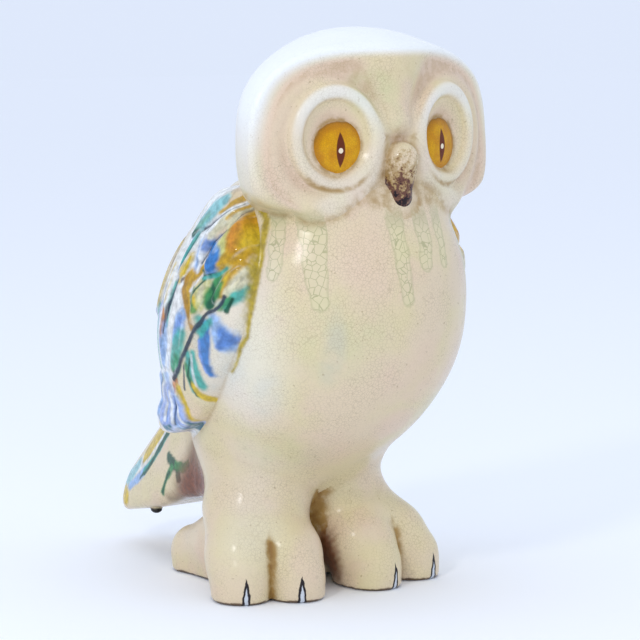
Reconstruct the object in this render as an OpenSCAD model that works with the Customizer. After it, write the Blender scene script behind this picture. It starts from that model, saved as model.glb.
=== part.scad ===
// Hollow glazed earthenware owl, standing, with the wings, tail, feet, eyes and beak luted on.
// Millimetres, +Z up. The owl looks along -Y, its own left side is +X, and it stands on Z = 0.
// The origin is the middle of the bounding box on the ground.

/* [Body] */
// Largest radius of the belly
belly_r = 75.5; // [70:0.5:80]
// Height of the underside of the head
neck_z = 202; // [200:1:206]
// Thickness of the hollow wall
wall = 5; // [4:0.5:7]
// Diameter of the vent hole under the belly
vent_d = 12; // [8:1:16]

/* [Head] */
// Width of the dome of the head
head_w = 152; // [146:1:160]
// Height of the top of the head
head_top = 294; // [288:1:302]
// Depth of the skull from its centre to its back
head_back = 50; // [46:1:58]
// Width of one half of the face, outward from the middle
mask_w = 82; // [76:1:86]
// Height of the face
mask_h = 82; // [76:1:88]
// Angle by which each half of the face turns outward
face_turn = 14; // [10:1:16]

/* [Face] */
// Outer width of the raised ring round an eye
ring_d = 50; // [46:1:54]
// Width of the clay roll of the ring
ring_w = 8; // [7:0.5:9]
// Height of the ring above the face
ring_h = 4; // [3:0.5:6]
// Diameter of the ball of an eye
eye_d = 29; // [26:0.5:31]
// Depth of the hollow that an eye sits in
socket_depth = 4; // [3:0.5:5]
// Width of the beak
beak_w = 17.4; // [15:0.2:20]
// Height of the beak
beak_h = 34; // [31:0.5:37]

/* [Wings and tail] */
// Thickness of a wing
wing_t = 8; // [6:0.5:10]
// How far the tip of the tail stands behind the claws
tail_back = 183; // [176:1:188]
// Half of the width of the tail at its tip
tail_tip_r = 17; // [15:1:19]

/* [Feet] */
// Radius of a leg
leg_r = 26; // [24:0.5:27]
// Radius of the end of a front toe
toe_r = 15; // [14:0.5:16]
// Radius of the end of a hind toe
hind_r = 14; // [12:0.5:15]

/* [Hidden] */
glaze = "antiquewhite";
paint = "steelblue";
// The claws stand this far behind the plane Y = 0 of the finished frame, as a negative number
stance_y = -61.7;
far = 400;
around = 36;
// The body ends in a collar inside the head
collar_z = neck_z + 14;
$fn = 48;

// Heights of the body's sections, as [height, how far back the centre lies, radius]
body_sections = [
    [50, 42, 0.37 * belly_r], [65, 41, 0.56 * belly_r], [80, 34, 0.72 * belly_r],
    [100, 26, 0.875 * belly_r], [125, 20.5, 0.985 * belly_r], [153, 16, belly_r],
    [175, 11.5, 0.935 * belly_r], [196, 8, 0.81 * belly_r], [collar_z, 5, 0.7 * belly_r]];
// The eyes sit on the two turned halves of the face, which meet at this Y
face_y = -47;
face_z = 240.5;
mask_depth = 45;
// The ridge where the two halves meet is flattened at this Y
ridge_y = -45.5;
ring_x = 37.4;
eye_x = 34.4;
eye_z = 233.8;
skull_y = -11;
// The vent hole comes out behind the legs
vent_y = 62;
skull_half = 48;
skull_z = head_top - skull_half;
// Ends of the front toes: [left or right of the middle, behind the claws]
toe_ends = [[54, 5.4], [22, -0.6], [-53, 16.4], [-27, 3.4]];
// Where each front toe leaves its leg
toe_roots = [[34, 36], [21, 33], [-38, 37], [-24, 34]];

// Value of one column of a table of sections at height z, on a smooth curve
function slope(t, i, c) =
    let (a = max(i - 1, 0), b = min(i + 1, len(t) - 1)) (t[b][c] - t[a][c]) / (t[b][0] - t[a][0]);
function index(t, z, i = 0) = i >= len(t) - 2 || z <= t[i + 1][0] ? i : index(t, z, i + 1);
function smooth(t, z, c) =
    let (i = index(t, z), h = t[i + 1][0] - t[i][0], u = min(max((z - t[i][0]) / h, 0), 1))
    (2 * u ^ 3 - 3 * u ^ 2 + 1) * t[i][c] + (u ^ 3 - 2 * u ^ 2 + u) * h * slope(t, i, c)
    + (3 * u ^ 2 - 2 * u ^ 3) * t[i + 1][c] + (u ^ 3 - u ^ 2) * h * slope(t, i + 1, c);

// Closed skin through rings of equal length, listed from the bottom up
module skin(rings) {
    n = len(rings[0]);
    m = len(rings);
    side = [for (j = [0:m - 2], i = [0:n - 1])
        [j * n + i, j * n + (i + 1) % n, (j + 1) * n + (i + 1) % n, (j + 1) * n + i]];
    low = [for (i = [n - 1:-1:0]) i];
    high = [for (i = [0:n - 1]) (m - 1) * n + i];
    polyhedron([for (r = rings) each r], [each side, low, high], convexity = 6);
}

// Round solid through the body's sections, grown by a margin
module trunk(z0, z1, grow, steps = 12) {
    skin([for (j = [0:steps])
        let (z = z0 + (z1 - z0) * j / steps, r = smooth(body_sections, z, 2) + grow)
        [for (i = [0:around - 1])
            [r * sin(i * 360 / around), smooth(body_sections, z, 1) + r * cos(i * 360 / around), z]]]);
}

// Point of the skull's dome in the direction of two angles, shrunk by a margin
function dome_point(a, e, s) =
    [(head_w / 2 - s) * cos(e) * sin(a), skull_y + (head_back - s) * cos(e) * cos(a),
     skull_z + (skull_half - s) * sin(e) * (e < 0 ? 2.3 : 1)];

// Point of the face's squarish outline at angle a, drawn in by a margin
function mask_point(a, s, w) =
    let (c = sin(a), d = cos(a), n = d > 0 ? 3 : 4)
    [(mask_w - s) * sign(c) * abs(c) ^ (2 / n), (mask_h / 2 - s) * sign(d) * abs(d) ^ (2 / n), w];

// One half of the face: a rounded slab that narrows towards the back of the head
module mask(side, s) intersection() {
    for_face(side) skin([for (k = [[-mask_depth, 22], [-28, 14], [-12, 6], [-5, 3.5], [-1.5, 5], [0, 8.5]])
        [for (i = [0:around - 1]) mask_point(i * 360 / around, k[1] + s, k[0] + (k[0] < -20 ? s : -s))]]);
    translate([side > 0 ? 0 : -far, -far / 2, 0]) cube(far);
}

// The skull: a dome with the two turned halves of the face in front of it, shrunk by a margin
module skull(s) intersection() {
    union() {
        intersection() {
            skin([for (e = [each [-78:12:78], 86])
                [for (i = [0:around - 1]) dome_point(i * 360 / around, e, s)]]);
            for_face(1) translate([-far / 2, -far / 2, -far - s]) cube(far);
            for_face(-1) translate([-far / 2, -far / 2, -far - s]) cube(far);
        }
        mask(1, s);
        mask(-1, s);
    }
    translate([-far / 2, ridge_y + s, 0]) cube(far);
}

module stance() translate([0, stance_y, 0]) children();
// One mesh of a node's own pieces, with the stated wall and no overlap
module fired() resize([0, 0, 0]) children();
module above(z) translate([-far / 2, -far / 2, z]) cube(far);

module trunk_solid() trunk(54, collar_z, 0);
module skull_solid() difference() {
    intersection() {
        skull(0);
        above(neck_z);
    }
    socket(1, 0);
    socket(-1, 0);
}

// Places children in the plane of one half of the face, with +Z pointing out of it
module for_face(side) {
    mirror([side < 0 ? 1 : 0, 0, 0])
        translate([0, face_y, face_z]) rotate([0, 0, face_turn]) rotate([90, 0, 0]) children();
}
// The bowl in which an eye sits, grown by a margin
module socket(side, grow) {
    for_face(side) translate([ring_x - 1, eye_z + 5.2 - face_z, 13 - socket_depth])
        scale([19.5 + grow, 21 + grow, 13 + grow]) sphere(r = 1, $fn = 40);
}

module body_shell() {
    color(glaze) stance() difference() {
        fired() difference() {
            trunk_solid();
            trunk(54 + 2 * wall, collar_z + 1, -wall);
        }
        translate([0, vent_y, 40]) cylinder(d = vent_d, h = 40);
    }
}

module head_shell() {
    color(glaze) stance() fired() difference() {
        skull_solid();
        difference() {
            skull(wall);
            socket(1, wall);
            socket(-1, wall);
        }
        trunk_solid();
        brow_block();
    }
}

// Keystone of clay between the eyes, wide at the forehead and narrow above the beak
module brow_block() hull() {
    translate([0, -30, 271]) scale([1.28, 1, 1]) sphere(r = 16.5, $fn = 24);
    translate([0, -43, 247.5]) scale([1.28, 1, 1]) sphere(r = 6, $fn = 24);
}
module brow_wedge() {
    color(glaze) stance() fired() difference() {
        brow_block();
        skull(wall / 2);
    }
}

module beak_block() hull() {
    translate([0, -46.6, 237 - beak_w / 2]) sphere(r = beak_w / 2, $fn = 32);
    translate([0, -45, 237 - beak_h + 5.6]) sphere(r = 5.6, $fn = 32);
}
module beak() {
    color("rosybrown") stance() fired() difference() {
        beak_block();
        skull_solid();
        brow_block();
        trunk_solid();
    }
}

module eye_ring(side) {
    r = (ring_d - ring_w) / 2;
    color(glaze) stance() for_face(side) translate([ring_x, 240 - face_z, 0]) scale([1, 1.09, 1])
        rotate_extrude() intersection() {
            translate([r, 0]) scale([ring_w / 2, ring_h]) circle(r = 1, $fn = 24);
            translate([r - ring_w, 0]) square([2 * ring_w, 2 * ring_h]);
        }
}
module eye_ring_left() eye_ring(1);
module eye_ring_right() eye_ring(-1);

module eye(side) {
    color("goldenrod") stance() fired() difference() {
        for_face(side) translate([eye_x, eye_z - face_z, -0.2 - socket_depth])
            scale([eye_d / 2, eye_d / 2, 5.4]) sphere(r = 1, $fn = 48);
        skull_solid();
    }
}
module eye_left() eye(1);
module eye_right() eye(-1);

// Side outline of a wing as [behind the claws, height], from the shoulder down the front edge
wing_outline = [
    [2, 206], [-5, 199], [-10, 190], [-14, 170], [-10, 145], [4, 120], [24, 99], [45, 87],
    [68, 82], [86, 87], [93, 105], [90, 132], [80, 160], [62, 190], [38, 210], [14, 213]];
// Round solid a wing's thickness outside the body, standing away from it below
module wing_skin(steps = 12) {
    skin([for (j = [0:steps])
        let (z = 78 + (collar_z - 78) * j / steps,
             r = smooth(body_sections, max(z, 100), 2) + wing_t,
             back = smooth(body_sections, max(z, 95), 1) + 0.35 * min(max(110 - z, 0), 30))
        [for (i = [0:around - 1])
            [r * sin(i * 360 / around), back + r * cos(i * 360 / around), z]]]);
}
module wing(side) {
    color(paint) stance() fired() difference() {
        intersection() {
            wing_skin();
            translate([side > 0 ? 25 : -far - 25, 0, 0]) rotate([90, 0, 90])
                linear_extrude(far) offset(r = 6, $fn = 24) offset(delta = -6) polygon(wing_outline);
        }
        trunk_solid();
        skull_solid();
        tail_block();
    }
}
module wing_left() wing(1);
module wing_right() wing(-1);

module tail_block() hull() {
    translate([0, 100, 111]) sphere(r = 8, $fn = 24);
    for (x = [-1, 1]) {
        translate([x * 24, 94, 74]) sphere(r = 9, $fn = 24);
        translate([x * 25, 92, 49]) sphere(r = 9, $fn = 24);
        translate([x * (tail_tip_r - 8), tail_back - 10, 28]) sphere(r = 8, $fn = 24);
    }
    translate([0, tail_back - 8, 28]) sphere(r = 8, $fn = 24);
}
module tail() {
    color(paint) stance() fired() difference() {
        tail_block();
        trunk_solid();
    }
}

module leg_block(side) intersection() {
    hull() {
        translate([side * 24, 40, 82]) sphere(r = leg_r, $fn = 32);
        translate([side * 25, 39, 30]) cylinder(r = leg_r, h = 20, $fn = 32);
        translate([side * 27, 38, 0]) cylinder(r = leg_r - 3, h = 1, $fn = 32);
    }
    translate([side > 0 ? 0 : -far, -far / 2, 0]) cube(far);
}
module leg(side) {
    color(glaze) stance() fired() difference() {
        leg_block(side);
        trunk_solid();
    }
}
module leg_left() leg(1);
module leg_right() leg(-1);

module toe_block(i) intersection() {
    hull() {
        translate([toe_roots[i][0], toe_roots[i][1], 38]) sphere(r = 1.2 * toe_r, $fn = 24);
        translate([toe_ends[i][0], toe_ends[i][1], 12]) sphere(r = toe_r, $fn = 32);
        translate([toe_roots[i][0], toe_roots[i][1], 0]) cylinder(r = toe_r, h = 10, $fn = 24);
    }
    above(0);
}
// A toe is cut where it meets its leg, and where it meets the toe beside it
module front_toe(i, side, beside = -1) {
    color(glaze) stance() fired() difference() {
        toe_block(i);
        leg_block(side);
        if (beside >= 0) toe_block(beside);
        trunk_solid();
    }
}
module outer_toe_left() front_toe(0, 1);
module inner_toe_left() front_toe(1, 1, 0);
module outer_toe_right() front_toe(2, -1);
module inner_toe_right() front_toe(3, -1, 2);

module hind_toe(side) {
    color(glaze) stance() fired() difference() {
        intersection() {
            hull() {
                translate([side * 23, 58, 20]) sphere(r = 21, $fn = 24);
                translate([side * 25, 92, 10]) sphere(r = hind_r, $fn = 32);
            }
            above(0);
        }
        leg_block(side);
    }
}
module hind_toe_left() hind_toe(1);
module hind_toe_right() hind_toe(-1);

body_shell();
head_shell();
brow_wedge();
beak();
eye_ring_left();
eye_ring_right();
eye_left();
eye_right();
wing_left();
wing_right();
tail();
leg_left();
leg_right();
outer_toe_left();
inner_toe_left();
outer_toe_right();
inner_toe_right();
hind_toe_left();
hind_toe_right();
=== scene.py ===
"""Looks of the glazed earthenware owl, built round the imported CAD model.

The owl is modelled as one blended clay form, as the potter's slip leaves it, and cut into its separate
pieces along the joints. Lengths are millimetres in the CAD source's stance frame, in which Y = 0 is just
behind the claws, the owl looks along -Y and its own left is +X. Materials, camera and lights use metres.
"""
import math

import bpy
import numpy as np
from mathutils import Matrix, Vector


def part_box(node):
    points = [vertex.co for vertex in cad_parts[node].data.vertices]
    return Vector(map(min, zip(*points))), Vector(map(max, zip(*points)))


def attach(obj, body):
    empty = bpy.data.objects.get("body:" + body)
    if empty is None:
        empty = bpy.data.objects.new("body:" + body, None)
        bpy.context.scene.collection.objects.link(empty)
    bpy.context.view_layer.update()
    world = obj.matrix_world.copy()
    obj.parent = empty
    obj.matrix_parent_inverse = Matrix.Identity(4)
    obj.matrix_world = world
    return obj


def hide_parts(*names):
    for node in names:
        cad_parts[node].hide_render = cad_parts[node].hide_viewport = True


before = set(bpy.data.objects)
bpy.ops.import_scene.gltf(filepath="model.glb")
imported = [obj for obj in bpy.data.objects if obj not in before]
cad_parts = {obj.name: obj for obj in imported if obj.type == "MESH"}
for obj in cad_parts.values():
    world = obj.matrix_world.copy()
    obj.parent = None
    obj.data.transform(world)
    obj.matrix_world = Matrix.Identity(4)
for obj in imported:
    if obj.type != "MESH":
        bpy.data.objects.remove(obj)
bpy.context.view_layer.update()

MM = 0.001
# Distance given to clay that is out of reach, and the front of the belly, which fixes the stance frame
FAR = 60.0
BELLY_FRONT = -60.0
STANCE_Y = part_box("body_shell")[0][1] / MM - BELLY_FRONT

# ---------------------------------------------------------------------------- distance tools


def soft_min(a, b, k):
    """Smallest of two distances, with a fillet about k wide where they meet."""
    h = np.clip(0.5 + 0.5 * (b - a) / k, 0, 1)
    return b + (a - b) * h - k * h * (1 - h)


def soft_max(a, b, k):
    return -soft_min(-a, -b, k)


def ease(a, b, x):
    """0 below a, 1 above b and smooth between, or the reverse where a is above b."""
    t = np.clip((x - a) / (b - a), 0, 1)
    return t * t * (3 - 2 * t)


def through(z, stations, column):
    """Natural cubic spline through one column of a table of stations, at heights z."""
    table = np.asarray(stations, float)
    heights = table[:, 0]
    values = table[:, column]
    gap = np.diff(heights)
    system = np.eye(len(heights))
    turn = np.zeros(len(heights))
    for k in range(1, len(heights) - 1):
        system[k, k - 1:k + 2] = gap[k - 1] / 6, (gap[k - 1] + gap[k]) / 3, gap[k] / 6
        turn[k] = (values[k + 1] - values[k]) / gap[k] - (values[k] - values[k - 1]) / gap[k - 1]
    bend = np.linalg.solve(system, turn)
    z = np.clip(z, heights[0], heights[-1])
    i = np.clip(np.searchsorted(heights, z) - 1, 0, len(gap) - 1)
    below, above = (heights[i + 1] - z) / gap[i], (z - heights[i]) / gap[i]
    curve = (below**3 - below) * bend[i] + (above**3 - above) * bend[i + 1]
    return below * values[i] + above * values[i + 1] + curve * gap[i] ** 2 / 6


def ellipsoid(x, y, z, centre, radii):
    qx, qy, qz = (x - centre[0]) / radii[0], (y - centre[1]) / radii[1], (z - centre[2]) / radii[2]
    k0 = np.sqrt(qx**2 + qy**2 + qz**2)
    k1 = np.sqrt((qx / radii[0]) ** 2 + (qy / radii[1]) ** 2 + (qz / radii[2]) ** 2)
    return k0 * (k0 - 1) / np.maximum(k1, 1e-6)


def roll(x, y, z, a, b, ra, rb):
    """Roll of clay from a to b, of radius ra tapering to rb."""
    ab = np.subtract(b, a)
    t = ((x - a[0]) * ab[0] + (y - a[1]) * ab[1] + (z - a[2]) * ab[2]) / (ab @ ab)
    t = np.clip(t, 0, 1)
    gap = (x - a[0] - t * ab[0]) ** 2 + (y - a[1] - t * ab[1]) ** 2 + (z - a[2] - t * ab[2]) ** 2
    return np.sqrt(gap) - (ra + (rb - ra) * t * t * (3 - 2 * t))


def smooth_loop(points, steps=4):
    """Closed curve through the points, as short straight steps."""
    p = np.array(points, float)
    before, after, beyond = np.roll(p, 1, 0), np.roll(p, -1, 0), np.roll(p, -2, 0)
    curve = []
    for t in np.arange(steps) / steps:
        curve.append(p + 0.5 * t * (after - before + t * (2 * before - 5 * p + 4 * after - beyond
                                                          + t * (3 * (p - after) + beyond - before))))
    return np.stack(curve, 1).reshape(-1, 2)


def oval(u, v, centre, radii):
    """Distance outward from an oval line in a plane."""
    return (np.hypot((u - centre[0]) / radii[0], (v - centre[1]) / radii[1]) - 1) * min(radii)


def outline(y, z, points):
    """Signed distance from a closed outline in the side view."""
    nearest = np.full(y.shape, 1e12)
    sign = np.ones(y.shape)
    for (ay, az), (by, bz) in zip(points, np.roll(points, 1, 0)):
        ey, ez, wy, wz = by - ay, bz - az, y - ay, z - az
        t = np.clip((wy * ey + wz * ez) / (ey * ey + ez * ez), 0, 1)
        nearest = np.minimum(nearest, (wy - ey * t) ** 2 + (wz - ez * t) ** 2)
        above, under, left = z >= az, z < bz, ey * wz > ez * wy
        sign = np.where((above & under & left) | (~above & ~under & ~left), -sign, sign)
    return sign * np.sqrt(nearest)


def wobble(x, y, z, wavelength, seed):
    """Slow, smooth unevenness from -1 to 1, as hands leave in clay."""
    total = 0
    rng = np.random.default_rng(seed)
    for _ in range(5):
        way = rng.normal(size=3)
        way *= rng.uniform(0.7, 1.5) * 2 * math.pi / wavelength / np.linalg.norm(way)
        total = total + np.sin(way[0] * x + way[1] * y + way[2] * z + rng.uniform(0, 6.28))
    return total / 5


# ---------------------------------------------------------------------------- painted glaze

WHITE = (0.80, 0.82, 0.82)
PALE_CREAM = (0.66, 0.62, 0.42)
PALE_BLUE = (0.30, 0.47, 0.76)
FAN_BLUE = (0.33, 0.43, 0.74)
LILAC = (0.17, 0.30, 0.66)
BLUE = (0.07, 0.19, 0.52)
COBALT = (0.04, 0.19, 0.50)
SLATE = (0.035, 0.055, 0.085)
TEAL = (0.015, 0.14, 0.18)
TURQUOISE = (0.06, 0.39, 0.33)
AQUA = (0.26, 0.54, 0.57)
GREEN = (0.05, 0.27, 0.09)
DARK_GREEN = (0.008, 0.085, 0.045)
YELLOW_GREEN = (0.52, 0.52, 0.17)
YELLOW = (0.66, 0.46, 0.03)
MUSTARD = (0.55, 0.32, 0.018)
ORANGE = (0.58, 0.21, 0.03)
OCHRE = (0.40, 0.21, 0.02)
OLIVE_YELLOW = (0.44, 0.32, 0.01)
BROWN = (0.09, 0.04, 0.02)
MAROON = (0.19, 0.06, 0.025)
RUST = (0.15, 0.045, 0.015)
BLACK = (0.01, 0.01, 0.012)

# The wing's feathers in relief: how high each stands, and its line of (y, z, half-width)
FEATHERS = [
    (1.4, [(60, 205, 7), (68, 180, 8), (70, 150, 6)]),
    (1.0, [(84, 176, 5), (88, 142, 7), (84, 112, 5)]),
    (1.2, [(52, 150, 5), (51, 134, 4), (50, 122, 3)]),
    (1.3, [(44, 178, 3.5), (46, 160, 5), (47, 138, 4)]),
    (1.2, [(27, 148, 5), (31, 134, 5), (37, 121, 4)]),
    (1.5, [(40, 106, 4), (40, 93, 4.5)]),
    (1.6, [(50, 107, 4.5), (51, 91, 5)]),
    (1.6, [(61, 107, 4.5), (63, 92, 5)]),
    (1.4, [(72, 110, 5), (74, 94, 5)]),
    (1.5, [(29, 189, 4), (32, 180, 5), (36, 171, 3)]),
    (1.5, [(27, 178, 3), (30, 170, 4.5)]),
    (1.9, [(9, 169, 4), (11, 163, 7), (13, 156, 5), (16, 148, 2.5)]),
    (1.5, [(-11, 175, 3), (-6, 168, 5), (-1, 160, 4)]),
    (1.6, [(14, 209, 3), (22, 202, 6), (31, 195, 5), (37, 189, 2)]),
    (2.2, [(0, 206, 2.5), (10, 198, 4.5), (17, 189, 5), (19, 180, 3)]),
    (3.0, [(-8, 201, 4), (-6, 192, 9), (0, 184, 9), (6, 177, 6)]),
]
GROOVES = [
    [(2, 206, 0.8), (10, 200, 1), (26, 192, 1.2)],
    [(-2, 204, 0.8), (4, 194, 1), (12, 187, 1), (16, 176, 1.2)],
    [(27, 191, 1), (30, 183, 1), (38, 169, 1)],
    [(36, 167, 1), (42, 152, 1.2), (46, 138, 1.2)],
    [(50, 170, 1), (56, 150, 1), (56, 128, 1)],
    [(45, 105, 0.9), (46, 90, 1)],
    [(56, 105, 0.9), (57, 90, 1)],
    [(67, 106, 0.9), (69, 92, 1)],
    [(60, 186, 1), (61, 150, 1)],
    [(78, 190, 1), (80, 150, 1), (79, 112, 1)],
]
SPINE = [(-6, 161, 0.5), (-3, 157, 0.7), (7, 150, 1), (13, 144, 1.1), (18, 138, 1), (24, 130, 1),
         (31, 122, 1), (40, 115, 1.3)]

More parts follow.
